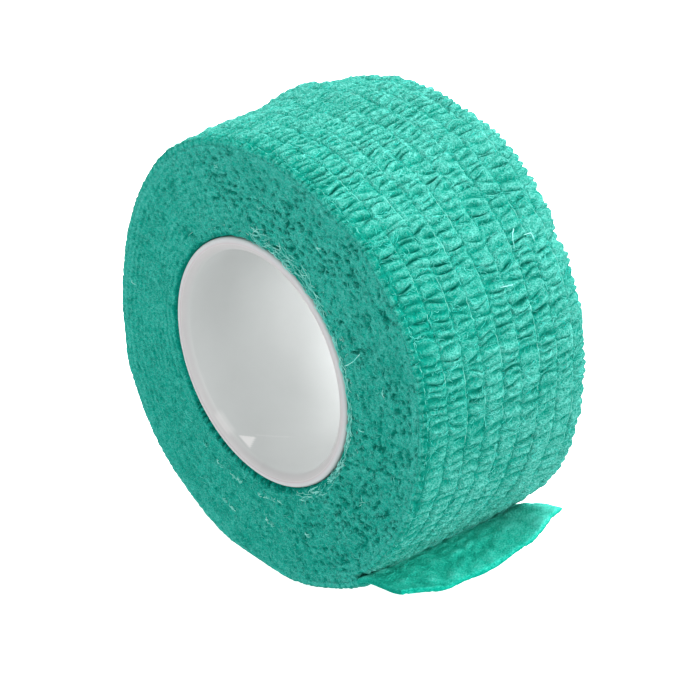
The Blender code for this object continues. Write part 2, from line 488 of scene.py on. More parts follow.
def column_rows(table, u):
    """Arc place and height in mm of one line of points over every puff of a column, and its puffs.

    u says where in its column the line runs, from -1 to 1. A puff is 0 in a crease, 1 on a crest.
    """
    across = 1 - u * u
    crease = table["base"] + table["slant"] * u + table["bow"] * across + table["kink"] * across * u
    crease = np.maximum.accumulate(crease + np.arange(len(crease)) * 1e-6)
    crease[0] = table["base"][0]
    crease[-1] = table["base"][-1]
    window = np.clip(1 - ((u - table["middle"]) / table["reach"]) ** 2, 0, 1)
    depth = table["depth"] * (0.26 + 0.74 * window) * (1 - 0.60 * abs(u) ** 4)
    steps = np.array(CELL_STEPS)[None, :]
    near, far = crease[:-1, None], crease[1:, None]
    skewed = steps ** table["skew"][:, None]
    plump = 1 - np.abs(2 * skewed - 1) ** 2.2
    gentle = 0.5 - 0.5 * np.cos(2 * pi * skewed)
    puff = plump + (gentle - plump) * table["soft"][:, None]
    span = np.clip((far - near) / FULL_PUFF, 0.35, 1.3)
    blend = steps * steps * (3 - 2 * steps)
    cut = depth[:-1, None] * (1 - blend) + depth[1:, None] * blend
    hollow = cut * (1 - puff) * (0.45 + 0.55 * span)
    crest = (table["crest"][:, None] + 0.12 * span - 0.07) * puff
    height = crest - hollow
    arc = near + (far - near) * steps + table["lean"][:, None] * puff * across * span
    arc = np.append(arc.ravel(), crease[-1])
    height = np.append(height.ravel(), -depth[-1])
    puffs = np.append(puff.ravel(), 0.0)
    return arc, height, puffs


def lean_creases(edges, tables):
    """Below the top of the roll the creases lean, at its back one way and in front the other."""
    for near, far, table in zip(edges, edges[1:], tables):
        middle = (near + far) / 2
        leaning = 0.27 * smooth(middle, -2.0, 9.0) - 0.11 * smooth(-middle, 0.0, 9.0)
        turn = OUTER_START + np.degrees(table["base"] / MEAN_RADIUS)
        table["slant"] = table["slant"] + leaning * smooth(142 - turn, 0, 30)


def lines_round(edges):
    """Lines of points round the roll: the column of each, its place in it, and along the axis."""
    last_column = len(edges) - 2
    lines = []
    for column, (near, far) in enumerate(zip(edges, edges[1:])):
        low, high, steps = -1.0, 1.0, ACROSS_STEPS
        if column == 0:
            low, steps = FRONT_COLUMN_STEPS[0], FRONT_COLUMN_STEPS
        elif column == last_column:
            high, steps = BACK_COLUMN_END, BACK_COLUMN_STEPS
        for u in steps:
            lines.append((column, u, near + (far - near) * (u - low) / (high - low)))
    lines.append((last_column, BACK_COLUMN_END, SKIN_EDGE))
    return lines


def crinkled(tables, lines):
    """Arc place, height, puff and place along the axis of every point, joined at the threads."""
    last_column = len(tables) - 1
    rows = []
    for column, u, along in lines:
        row = column_rows(tables[column], u)
        share = 0.5 if u == -1.0 else 0.14
        beside = None
        if column > 0 and u <= -0.85:
            beside = column_rows(tables[column - 1], 1.0)
        elif column < last_column and u >= 0.85:
            beside = column_rows(tables[column + 1], -1.0)
        if beside is not None:
            row = [a * (1 - share) + b * share for a, b in zip(row, beside)]
        arc, height, puff = row
        height = height - 0.20 * abs(u) ** 8 - 0.13 * abs(u) ** 3
        rows.append((arc, height, puff, np.full_like(arc, along)))
    return [np.stack(x, 1) for x in zip(*rows)]


def tread_relief(angle, arc, along, height, at_thread):
    """Height of the crinkled skin over the roll, and its colour value with painted light and shade in
    it.

    It is calmer at the roll's rims and low down near the lifted end, and deeper towards the top.
    """
    from_front = smooth(along + HALF_WIDTH, 0.1, 1.5)
    from_back = smooth(HALF_WIDTH - along + 0.5 * noise(arc / 2.6, 0, 10), 0.4, 2.6)
    at_front = 0.80 - 0.75 * smooth(angle, 174, 214)
    calm = (at_front + (1 - at_front) * from_front) * (0.40 + 0.60 * from_back)
    amount = 0.74 + 0.17 * smooth(angle, 44, 64) + 0.11 * smooth(angle, 80, 100)
    amount = amount + 0.13 * smooth(angle, 142, 168)
    height = height * (0.83 + 0.07 * smooth(angle, 95, 115)) * amount * calm
    rounding = smooth(-10.9 - along, 0, 1.3) * hump(angle, 50, 80, 190, 215)
    height = height - 0.24 * rounding * rounding
    height = height + 0.08 * noise(arc / 4.2, along / 3.1, 7) * (0.5 + 0.5 * calm)
    height = height + 0.20 * (noise(arc / 1.3, along / 6.0, 14) - 0.3) * (1 - from_back)
    height = height + 0.12 * noise(arc / 0.90, along / 0.95, 8) * calm
    height = height + 0.06 * noise(arc / 0.45, along / 0.55, 9) + 0.10

    # Low down the columns stand out and the creases less so.
    lower = smooth(106 - angle, 0, 26) * (0.45 + 0.55 * smooth(angle, 42, 70))
    groove = lower * calm * at_thread
    height = height - 0.15 * groove
    # The colour value paints light and shade: painted shade in the hollows, the grooves, towards the
    # front and in a band round 115 degrees; painted light towards the back, on the top, low on the side
    # and in the wedge by the lifted end; and low down the creases are painted deeper.
    tone_and_painted_light = smooth(height, -0.46, 0.26) + 0.014 * along - 0.14 * smooth(-6.0 - along, 0, 6.0)
    tone_and_painted_light = tone_and_painted_light + 0.06 + 0.16 * smooth(angle, 135, 162)
    tone_and_painted_light = tone_and_painted_light - 0.11 * np.exp(-((angle - 115) / 22) ** 2) + 0.07 * smooth(98 - angle, 0, 25)
    tone_and_painted_light = tone_and_painted_light + 0.20 * smooth(48 - angle, 0, 10)
    tone_and_painted_light = tone_and_painted_light + 0.55 * (tone_and_painted_light - 0.64) * smooth(86 - angle, 0, 24)
    tone_and_painted_light = tone_and_painted_light - 0.12 * groove + 0.07 * lower
    return height, np.clip(tone_and_painted_light, 0, 1)


# The cut edges of the outer turn, ring by ring: drop below the skin, inset, and how far puffs show.
SHOULDER = ((0.09, 0.20, 0.30), (0.26, 0.07, 0.32), (0.52, 0.0, 0.20), (1.02, 0.04, 0.06))
SHOULDER_FADE = 0.6


def cut_edge(side, turn, arc, height, puff, rows):
    """Rings of points of one cut edge: a soft shoulder that the puffs just show on, then the cut."""
    rings, values = [], []
    base = form_radius(turn, side * HALF_WIDTH)
    for drop, inset, wave in rows:
        keep = height * max(0.0, 1 - drop / SHOULDER_FADE)
        rag = 0.05 * noise(arc / 0.5, drop * 3.0 + side, 12)
        swing = wave * (1.0 - 0.9 * smooth(turn, 180, 216)) * (puff - 0.5)
        swing = swing * (0.75 + 0.9 * noise(arc / 2.3, side * 5.0, 15))
        out = (HALF_WIDTH - inset + swing + rag) * side
        rings.append(place(turn, base + keep - drop, out)[:, None])
        # Painted light: the rings further down the rounding towards the cut are painted lighter as a
        # painted highlight, and the puffs on the shoulder lighter than its dips.
        low = (0.42 if drop < 0.4 else 0.78) + 0.5 * (puff - 0.5)
        low = low + 0.3 * noise(arc / 0.5, drop * 4.0 + side, 13)
        values.append(np.clip(low, 0, 1)[:, None])
    return rings, values


def build_outer_turn():
    """The outer turn with its cut edges. Gives its skin, and where each elastic thread runs on it."""
    edges = (-SKIN_EDGE, *THREAD_LINES, SKIN_EDGE)
    tables = [crease_table() for _ in range(len(edges) - 1)]
    lean_creases(edges, tables)
    lines = lines_round(edges)
    arc, height, puff, along = crinkled(tables, lines)
    sway = 0.10 * noise(arc / 3.1, along / 2.8, 5) + 0.05 * noise(arc / 0.9, along / 1.2, 6)
    along = along + sway * smooth(SKIN_EDGE - np.abs(along), 0.0, 1.2)
    angle = OUTER_START + np.degrees(arc / MEAN_RADIUS)
    angle[0] = OUTER_START
    angle[-1] = OUTER_END
    at_thread = np.array([abs(u) ** 4 for _, u, _ in lines])
    height, tone_and_painted_light = tread_relief(angle, arc, along, height, at_thread)
    radius = form_radius(angle, along) + height
    skin = place(angle, radius, along)
    rings, values = [skin], [tone_and_painted_light]
    for side, column, rows in ((1, -1, SHOULDER), (-1, 0, SHOULDER[::-1])):
        at_edge = (x[:, column] for x in (angle, arc, height, puff))
        edge_rings, edge_values = cut_edge(side, *at_edge, rows)
        rings += edge_rings
        values += edge_values
    points = np.concatenate(rings, 1)
    values = np.concatenate(values, 1)
    rows, ring, _ = points.shape
    faces = ring_faces(rows, ring)
    piece = make_piece("outer_turn", points.reshape(-1, 3), faces, TREAD_LOOKS, values)
    piece.data.materials.append(FACE_LOOKS)
    on_skin = (np.arange(ring) < skin.shape[1] + 2) | (np.arange(ring) > ring - 3)
    material = np.concatenate([np.tile(np.where(on_skin, 0, 1), rows - 1), [1, 1]]).astype(np.int32)
    piece.data.polygons.foreach_set("material_index", material)
    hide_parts("roll")
    threads = [k for k, (column, u, _) in enumerate(lines) if u == -1.0 and column > 0]
    return skin, [[x[::2, k] for x in (angle, radius, along, arc)] for k in threads]


# ---- wound turns

FRONT_RINGS = 84
BACK_RINGS = 43
FACE_STEPS = 760
TURNS = 12
# How the faces reach the outer turn, the tube, and back along it out of sight, in mm.
UNDER_OUTER_TURN = 0.90
OFF_TUBE = 0.22
HIDDEN_WALL = 0.7

# Paler strips where the edge of a turn stands out: angles it runs over, and its radius at each.
PALE_ARCS = (
    (312, 340, 21.9, 20.7),
    (342, 382, 20.3, 21.8),
    (316, 338, 25.3, 24),
    (236, 296, 26, 27.6),
    (196, 232, 25.2, 25.9),
    (128, 156, 24.6, 25.4),
)
# The side of the faces where the pits are deepest, in degrees.
PITTED_SIDE = 122


def face_relief(angle, share, radius, seed):
    """How far the felted face lies below its highest fibres, in mm, and its colour value with painted
    light and shade.
    """
    x = 0.86 * radius * np.sin(np.radians(angle)) + 60.0
    z = 1.10 * radius * np.cos(np.radians(angle)) + 60.0
    turn = share * TURNS - angle / 360.0 + 0.20 * noise(x / 1.4, z / 1.4, seed)
    between = np.cos(2 * pi * turn)
    cells = noise(x / 0.42, z / 0.42, seed + 2) + 0.35 * noise(x / 0.22, z / 0.22, seed + 1)
    pits = smooth(cells - 0.12 * between, 0.32, 0.74)
    strength = 0.30 + 0.70 * smooth(np.cos(np.radians(angle - PITTED_SIDE)), -0.9, 0.7)
    hollow = pits * strength * np.clip(0.80 + 0.5 * noise(x / 2.4, z / 2.4, seed + 3), 0.3, 1.2)
    lumps = 0.05 * noise(x / 0.30, z / 0.30, seed + 4) + 0.06 * noise(x / 1.2, z / 1.2, seed + 5)
    felt = (0.12 + 0.26 * strength) * noise(x / 0.36, z / 0.36, seed + 6) + 0.03 * strength
    outward = smooth(share + 0.03 * noise(angle / 4.0, 0, seed + 15), 0.84, 1.0)
    # A painted highlight along the outer rim, and painted shade by the tube.
    rim = 0.24 + 0.30 * hump(angle, 60, 90, 185, 225) + 0.20 * hump(angle, 185, 225, 250, 300)
    rim = rim * outward
    rim = rim - 0.45 * smooth(0.07 - share, 0, 0.06)
    dull = noise(x / 0.9, z / 0.9, seed + 9) + 0.5 * noise(x / 2.2, z / 2.2, seed + 10)
    blotch = -0.26 * smooth(dull, 0.0, 0.9)
    # Lines between the turns, with painted light: the top lighter and the bottom darker.
    layers_and_painted_light = 0.07 + 0.13 * hump(angle, 160, 190, 290, 330)
    layers_and_painted_light = layers_and_painted_light * between * smooth(noise(angle / 22.0, share * 5.0, seed + 11), -0.5, 0.4)
    layers_and_painted_light = layers_and_painted_light + 0.08 * smooth(np.cos(np.radians(angle - 172.0)), 0.5, 1.0)
    layers_and_painted_light = layers_and_painted_light - 0.12 * np.cos(np.radians(angle - 5.0))
    streak = 0.0
    for start, end, near, far in PALE_ARCS:
        along_arc = np.clip((angle - start) / (end - start), 0, 1)
        middle = near + (far - near) * along_arc
        middle = middle + 0.25 * noise(angle / 4.0, start, seed + 12)
        window = smooth(4 * along_arc * (1 - along_arc), 0, 0.5)
        broken = smooth(noise(angle / 1.5, near, seed + 13), -0.5, 0.4)
        streak = streak + 0.58 * window * broken * np.exp(-((radius - middle) / 0.16) ** 2)
    # The pits are painted darker as painted shade.
    shade = np.clip(0.65 - 0.92 * np.clip(hollow, 0, 1) + felt + rim + blotch + layers_and_painted_light + streak, 0, 1)
    return 0.38 * hollow - lumps - 0.02 * between, shade


def face_points(angle, share, side, seed):
    """Points and shades of one felted face. share is 0 at the tube and 1 at the outer turn."""
    inner = CORE_OUTER + OFF_TUBE + 0.14 * noise(angle / 4.5, 0, seed + 8)
    outer = form_radius(angle, side * HALF_WIDTH) - UNDER_OUTER_TURN
    radius = inner + (outer - inner) * share
    relief, shade = face_relief(angle, share, radius, seed)

    # A row of small gaps between teeth of cloth runs along the lower left of the tube, sunk and painted
    # dark as painted shade; on the left the cloth by the tube is sunk and painted darker, also painted
    # shade.
    beat = (angle + 1.9 * noise(angle / 4.5, 0, seed + 14)) / 3.1
    gaps = smooth(np.cos(2 * pi * beat) + 0.8 * noise(angle / 2.4, 0, seed + 16), 0.1, 0.8)
    gaps = gaps * hump(angle, 292, 322, 368, 388)
    sunk = hump(angle, 182, 235, 362, 392)
    at_tube = smooth(0.022 - share, 0, 0.02)
    dish = np.interp(share, (0, 0.05, 0.3, 0.85, 1), (0.10, -0.04, 0.10, 0.05, 0.0))
    dish = dish + 0.26 * sunk * at_tube + 0.95 * gaps * smooth(0.066 - share, 0, 0.03)
    shade = shade - 0.30 * sunk * at_tube - 0.9 * gaps * smooth(0.072 - share, 0, 0.03)

    # The band under the frayed fibres is painted a little darker, as painted shade.
    frayed = 0.05 + 0.11 * hump(angle, 124, 150, 175, 185) + 0.06 * smooth(62 - angle, 0, 22)
    frayed = smooth(frayed - share, -0.01, 0.02) * (1 - smooth(angle, 178, 190))
    shade = np.clip(shade - 0.30 * frayed, 0, 1)
    rise = 0.08 * noise(angle / 30, share * 2.0, seed + 7)
    fade = smooth(share, -0.03, 0.05) * (1 - 0.3 * smooth(share, 0.93, 1.0))
    along = side * (HALF_WIDTH - dish - relief * fade + rise * (1 - share) * share * 4)
    return place(angle, radius, along), shade


def build_wound_turns():
    """Every turn under the outer one: two felted faces of cut edges, closed by hidden walls."""
    angles = LEAVE_ANGLE + 359.7 * np.arange(FACE_STEPS) / (FACE_STEPS - 1)
    faces = []
    for side, seed, count in ((-1, 21, FRONT_RINGS), (1, 41, BACK_RINGS)):
        angle, share = np.meshgrid(angles, np.linspace(0, 1, count), indexing="ij")
        faces.append(face_points(angle, share, side, seed))
    (front, front_shade), (back, back_shade) = faces
    walls = [place(angles, CORE_OUTER + 0.03, along)[:, None]
             for along in (HALF_WIDTH - HIDDEN_WALL, HIDDEN_WALL - HALF_WIDTH)]
    points = np.concatenate([front, back[:, ::-1], *walls], 1)
    values = np.concatenate([front_shade, back_shade[:, ::-1], np.zeros((FACE_STEPS, 2))], 1)
    rows, ring, _ = points.shape
    piece = make_piece("wound_turns", points.reshape(-1, 3), ring_faces(rows, ring, close_rows=True),
                       FACE_LOOKS, values)
    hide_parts("roll")
    return front, back


# ---- loose end

def loose_middle(run, across):
    """Points of the lifted end's middle surface, as its solid has them."""
    rows = np.array(LOOSE_ROWS)
    index = np.clip(np.searchsorted(rows[:, 0], across, side="right") - 1, 0, len(rows) - 2)
    share = (across - rows[index, 0]) / (rows[index + 1, 0] - rows[index, 0])
    eased = share * share * (3 - 2 * share)
    mixed = ((share + eased) / 2)[..., None]
    row = rows[index] + (rows[index + 1] - rows[index]) * mixed
    reach, rise, slope = row[..., 1], row[..., 2], np.radians(row[..., 3])
    along = across * HALF_WIDTH
    root = LEAVE_ANGLE + 360.0 * CLEARANCE / (2 * pi * WIND_START)
    leaving = np.array([cos(radians(root)), sin(radians(root))])
    arriving = np.stack([np.cos(slope), np.sin(slope)], -1)
    first = place(root, spiral_radius(root, along) + CLEARANCE + LAYER / 2, along)[..., [0, 2]]
    last = first + np.stack([reach, rise], -1)
    second = first + (LOOSE_ROOT_PULL * reach)[..., None] * leaving
    third = last - (LOOSE_END_PULL * reach)[..., None] * arriving
    behind = (np.minimum(run, 0.0) * reach)[..., None]
    t = run[..., None]
    curve = (1 - t) ** 3 * first + 3 * t * (1 - t) ** 2 * second
    curve = curve + 3 * t * t * (1 - t) * third + t ** 3 * last
    # Behind its root the sheet runs on along the turn that it comes from.
    curve = np.where(t < 0, first + behind * leaving, curve)
    return np.stack([curve[..., 0], along, curve[..., 1]], -1)


LOOSE_RUNS = 64
LOOSE_ACROSS = 150
LOOSE_THICK = 0.80


def uneven_edge(run, across, along, line_near):
    """How far along its reach each point lies, with the cut edge's small notches in it."""
    notch = 0.016 * noise(along / 2.2, 0, 61) * (0.4 + 0.8 * smooth(across, 0.0, 0.5))
    notch = notch + 0.008 * noise(along / 0.6, 0, 62) * (0.3 + 0.9 * smooth(across, 0.1, 0.5))
    notch = notch - 0.010 * smooth(0.4 - line_near, 0, 0.4) * smooth(across, -0.2, 0.5)
    further = 0.055 * smooth(0.75 - across, 0, 0.9) + 0.10 * smooth(-0.2 - across, 0, 0.6)
    return run * (1 + (notch + further) * smooth(run, 0.5, 1.0))


def loose_slopes(run, across, step=1e-3):
    """The middle surface's direction along the run, and its normal, which points up."""
    by_run = (loose_middle(run + step, across) - loose_middle(run - step, across)) / (2 * step)
    inner = np.clip(across, -1 + step, 1 - step)
    by_across = (loose_middle(run, inner + step) - loose_middle(run, inner - step)) / (2 * step)
    normal = unit(np.cross(by_run, by_across))
    return by_run, normal * np.sign(normal[..., 2:3] + 1e-9)


def loose_relief(far, along, line_near):
    """Height of the soft puffs and folds on the upper side, and of those on the underside."""
    waves = 0.10 * noise(far / 1.5, along / 2.4, 63) + 0.05 * noise(far / 0.6, along / 1.0, 64)
    creases = -0.10 * smooth(0.30 - np.abs(noise(far / 1.3, along / 3.5, 65)), 0, 0.3)
    lines = -0.10 * smooth(0.4 - line_near, 0, 0.4)
    in_column = smooth(line_near, 0.1, 0.9)
    phase = far / 1.9 + 0.9 * noise(along / 2.9, far / 4.0, 67)
    uneven = 0.6 + 0.5 * noise(along / 3.3, far / 2.1, 68)
    puffed = in_column * uneven * (0.5 + 0.5 * np.cos(2 * pi * phase))
    top = waves + creases * 0.3 + lines * 0.4 + 0.16 * (puffed - 0.3)
    under = 0.20 * np.abs(noise(far / 1.25, along / 2.8, 66)) - 0.12 + lines
    return top, under


def sheet_faces(runs, cols):
    """Quads over an upper grid of points, then a lower one, and the wall round their edge."""
    index = np.arange(runs * cols).reshape(runs, cols)
    up = np.stack([index[:-1, :-1], index[:-1, 1:], index[1:, 1:], index[1:, :-1]], -1).reshape(-1, 4)
    down = up[:, ::-1] + runs * cols
    loop = np.concatenate([index[0], index[1:, -1], index[-1, -2::-1], index[-2:0:-1, 0]])
    turned = np.roll(loop, -1)
    wall = np.stack([loop, loop + runs * cols, turned + runs * cols, turned], -1)
    return up.tolist() + down.tolist() + wall.tolist()


def build_loose_end():
    """The lifted end of the cloth as a thin closed sheet, rounded at its edges."""
    runs = np.linspace(-0.07, 1.0, LOOSE_RUNS)
    run, across = np.meshgrid(runs, np.linspace(-1, 1, LOOSE_ACROSS), indexing="ij")
    along = across * HALF_WIDTH
    line_near = np.min(np.abs(along[..., None] - np.array(THREAD_LINES)), axis=-1)
    bent = uneven_edge(run, across, along, line_near)
    middle = loose_middle(bent, across)
    middle[..., 2] -= 0.35 * smooth(-0.3 - across, 0, 0.7) * smooth(run, 0.3, 1.0)
    by_run, normal = loose_slopes(bent, across)
    top, under = loose_relief(np.linalg.norm(by_run, axis=-1) * bent, along, line_near)
    edge = np.minimum(np.minimum(1 - np.abs(across), 0.04) / 0.04, np.minimum(1 - run, 0.05) / 0.05)
    edge = np.sqrt(np.clip(1 - (1 - edge) ** 2, 0, 1))
    half = LOOSE_THICK / 2 * (0.25 + 0.75 * edge)
    upper = middle + normal * (half + top * (0.3 + 0.7 * edge))[..., None]
    lower = middle - normal * (half + under * edge)[..., None]
    upper[..., 2] = np.maximum(upper[..., 2], 0.05)
    lower[..., 2] = np.maximum(lower[..., 2], 0.0)
    points = np.concatenate([upper.reshape(-1, 3), lower.reshape(-1, 3)])
    # Painted light and shade: the upper side lighter on its puffs, towards its end, towards the back
    # and in the wedge by its root, and darker at its thin edges; the underside darker at its edges too.
    painted_light_and_shade = 0.46 + 1.5 * top + 0.10 * smooth(run, 0.6, 0.9) + 0.40 * smooth(across, -0.2, 0.9)
    painted_light_and_shade = painted_light_and_shade - 0.6 * (1 - edge)
    painted_light_and_shade = np.clip(painted_light_and_shade + 0.35 * (1 - smooth(run, 0.1, 0.4)), 0, 1)
    values = np.concatenate([painted_light_and_shade.ravel(), np.clip(0.5 + under - 0.6 * (1 - edge), 0, 1).ravel()])
    faces = sheet_faces(*run.shape)
    piece = make_piece("loose_end_cloth", points, faces, LOOSE_LOOKS, values)
    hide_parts("loose_end")


# ---- core

# The tube's lip: its flat outer ring, how far the rest of it stands back, and its outer rounding.
LIP_FLAT = 0.75
LIP_STEP = 0.05
LIP_ROUND = 0.40
TUBE_STEPS = 400

# The gate mark inside the tube: its angle, and its corners by arc and place along the axis, in mm.
GATE_ANGLE = 336.4
GATE_CORNERS = ((0.0, -11.28), (1.31, -9.45), (2.63, -11.48))
# The line that runs on from it: the angle and place along the axis of its start, and degrees a mm.
LINE_ANGLE = 340.9
LINE_START = -9.12
LINE_SLANT = 2.87


def corner(centre_radius, centre_along, radius, start, end, steps):
    """Radius and place along the axis of points round a quarter circle or less."""
    turn = np.radians(np.linspace(start, end, steps + 1))
    return np.stack([centre_radius + radius * np.cos(turn), centre_along + radius * np.sin(turn)], -1)


def tube_profile():
    """Radius and place along the axis round the tube's wall, with more points near the front lip."""
    half, outer, inner = HALF_WIDTH, CORE_OUTER, CORE_INNER
    step = outer - LIP_FLAT
    round_in = step - 0.06 - inner
    lip = half - LIP_STEP
    back_end = np.concatenate([
        corner(inner + round_in, lip - round_in, round_in, 180, 90, 8),
        [(step - 0.02, lip), (step, half - 0.015), (step + 0.03, half), (outer - 0.45, half)],
        corner(outer - LIP_ROUND, half - LIP_ROUND, LIP_ROUND, 85, 0, 6),
    ])
    front_end = back_end[::-1] * (1, -1)
    near_front = np.linspace(round_in - lip, -4.0, 46)[1:]
    wall = np.concatenate([near_front, np.linspace(-4.0, lip - round_in, 20)[1:-1]])
    return np.concatenate([back_end, front_end, np.stack([np.full(len(wall), inner), wall], -1)])


def gate_mark(angle, along):
    """1 on the small triangle by the lip, and 1 on the hair-fine line that runs on from its corner."""
    arc = np.radians(angle - GATE_ANGLE) * CORE_INNER
    mark = 1.0
    for (arc_a, along_a), (arc_b, along_b) in zip(GATE_CORNERS, GATE_CORNERS[1:] + GATE_CORNERS[:1]):
        side = (arc - arc_a) * (along_b - along_a) - (along - along_a) * (arc_b - arc_a)
        mark = mark * smooth(side / np.hypot(arc_b - arc_a, along_b - along_a), -0.06, 0.16)
    away = np.abs(angle - (LINE_ANGLE + (along - LINE_START) * LINE_SLANT))
    line = smooth(0.9 - away, 0, 0.9) * smooth(along, -9.5, -9.1) * smooth(-4.8 - along, 0, 1.5)
    return mark, line


def build_core():
    """The moulded tube: flat end rings, a fine step, a rounded inner lip, a gate mark inside, and
    painted highlights on the lip and the bore's wall.
    """
    profile = tube_profile()
    turns = np.arange(TUBE_STEPS) * (360 / TUBE_STEPS)
    angle, radius = np.meshgrid(turns, profile[:, 0], indexing="ij")
    _, along = np.meshgrid(turns, profile[:, 1], indexing="ij")
    on_wall = radius < CORE_INNER + 0.01
    mark, line = gate_mark(angle, along)
    # Painted highlights: a small patch and a band on the lip's inner rounding at the lower left, and a
    # faint patch on the bore's wall.
    lip_patch_highlight = smooth(9.0 - np.abs(angle - 327.0), 0, 5.0) * smooth(-10.9 - along, 0, 0.5)
    lip_patch_highlight = lip_patch_highlight * (radius < CORE_INNER + 0.3)
    lit = np.exp(-((angle - 318.0) / 38.0) ** 2) * (along < -11.6) * (radius < CORE_INNER + 0.75)
    radius = radius - on_wall * (0.06 * mark + 0.03 * line)
    points = place(angle, radius, along)
    paler = on_wall * (0.80 * mark + 0.20 * line) + 0.28 * lip_patch_highlight + 0.20 * lit
    paler = paler + 0.08 * on_wall * np.exp(-((angle - 300.0) / 28.0) ** 2 - ((along - 3.0) / 2.8) ** 2)
    faces = ring_faces(len(turns), len(profile), close_rows=True)
    piece = make_piece("core_tube", points.reshape(-1, 3), faces, PLASTIC_LOOKS,
                       np.clip(paler, 0, 1))
    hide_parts("core")


# ---- threads and fuzz

# Radii of threads and fibres, in mm, and how many fibres the tread and each face get.
ELASTIC_RADIUS = 0.046
PALE_RADII = (0.020, 0.034)
STRAY_RADIUS = 0.045
FRAY_RADII = (0.032, 0.052)
TREAD_FIBRES = 9000
FACE_FIBRES = 4600


def build_elastic_threads(threads):
    """The elastic threads between the columns of puffs, half sunk in the cloth."""
    paths = []
    for number, (angle, radius, along, arc) in enumerate(threads):
        lift = -0.03 + 0.12 * noise(arc / 2.3, number * 3.1, 71)
        lift = lift + 0.05 * noise(arc / 0.7, number * 2.3, 72)
        along = along + 0.05 * noise(arc / 1.1, number * 1.7, 73)
        paths.append(place(angle, radius + lift, along))
    tubes("elastic_threads", np.stack(paths), ELASTIC_RADIUS, ELASTIC_LOOKS, sides=5)


def build_fuzz(name, start, end, outward, highest, sway, radii, steps=4):
    """Fibres with radii in mm that leave the cloth, arch over it and come back to it."""
    lift = rng.uniform(0.02, highest, len(start))
    bend = rng.normal(0, sway, (len(start), 2))
    share = np.linspace(0, 1, steps)[None, :, None]
    arch = 4 * share * (1 - share)
    wave = np.sin(share * 2 * pi)
    side = unit(np.cross(end - start, outward))
    path = start[:, None] + (end - start)[:, None] * share
    path = path + outward[:, None] * (arch * lift[:, None, None])
    path = path + side[:, None] * ((arch * bend[:, :1, None]) + wave * bend[:, 1:, None])
    tubes(name, path, rng.uniform(*radii, len(start)), FIBRE_LOOKS)


def build_tread_fibres(skin):
    """Fuzz on the outer turn, each fibre between two near points of its skin."""
    rows, cols, _ = skin.shape
    row = rng.integers(4, rows - 40, TREAD_FIBRES)
    col = rng.integers(0, cols, TREAD_FIBRES)
    far_row = np.clip(row + rng.integers(-4, 5, TREAD_FIBRES), 0, rows - 1)
    far_col = np.clip(col + rng.choice([-3, -2, -1, 1, 2, 3], TREAD_FIBRES), 0, cols - 1)
    start, end = skin[row, col], skin[far_row, far_col]
    outward = unit((start - (0, 0, AXIS_HEIGHT)) * (1, 0, 1))
    near = np.linalg.norm(end - start, axis=1) < 1.6
    build_fuzz("tread_fibres", start[near], end[near], outward[near],
               highest=0.15, sway=0.11, radii=(0.020, 0.036))


def build_face_fibres(front, back):
    """Fuzz on the two faces, thicker on the side where the pits are deep."""
    found = []
    for side, face in ((-1, front), (1, back)):
        rows, cols, _ = face.shape
        row = rng.integers(0, rows, FACE_FIBRES)
        col = rng.integers(0, cols, FACE_FIBRES)
        far_row = (row + rng.integers(-5, 6, FACE_FIBRES)) % rows
        far_col = np.clip(col + rng.integers(-5, 6, FACE_FIBRES), 0, cols - 1)
        start, end = face[row, col], face[far_row, far_col]
        far = np.linalg.norm(end - start, axis=1)
        turn = np.arctan2(start[:, 0], AXIS_HEIGHT - start[:, 2]) - radians(100)
        chance = 0.25 + 0.75 * smooth(np.cos(turn), -0.8, 0.4)
        keep = (far < 1.3) & (far > 0.3) & (rng.random(FACE_FIBRES) < chance)
        found.append((start[keep], end[keep], np.tile((0.0, side, 0.0), (keep.sum(), 1))))
    start, end, outward = (np.concatenate(x) for x in zip(*found))
    build_fuzz("face_fibres", start, end, outward, highest=0.16, sway=0.12, radii=(0.018, 0.032))


# Loose thread ends round the tube, on the front and the back in turn. In front, those before
# number GATHERED_ENDS lie where the photo shows most of them.
THREAD_ENDS = 64
GATHERED_ENDS = 44
PATH_STEPS = 40
# Stray fibres: angle, radius and place along the axis of points on each, and how high it stands.
# Those on the tread take the roll's own radius.
STRAYS = (
    (((112.2, 16.76, -12.5), (113, 17.96, -12.5), (114.4, 19.26, -12.5), (116.3, 20.31, -12.5)), 0.35),
    (((87.6, 18.1, -12.5), (87.5, 19.0, -12.5)), 0.25),
    (((266.5, 24.4, -12.5), (266.0, 25.2, -12.5)), 0.25),
    (((131.3, 0.0, 6.4), (130.3, 0.0, 5.7), (128.9, 0.0, 5.35), (127.4, 0.0, 5.3)), 0.30),
    (((129.2, 0.0, 7.3), (129.0, 0.0, 8.2), (127.1, 0.0, 8.4)), 0.20),
    (((120.9, 0.0, 1.5), (120.4, 0.0, 3.3)), 0.35),
)


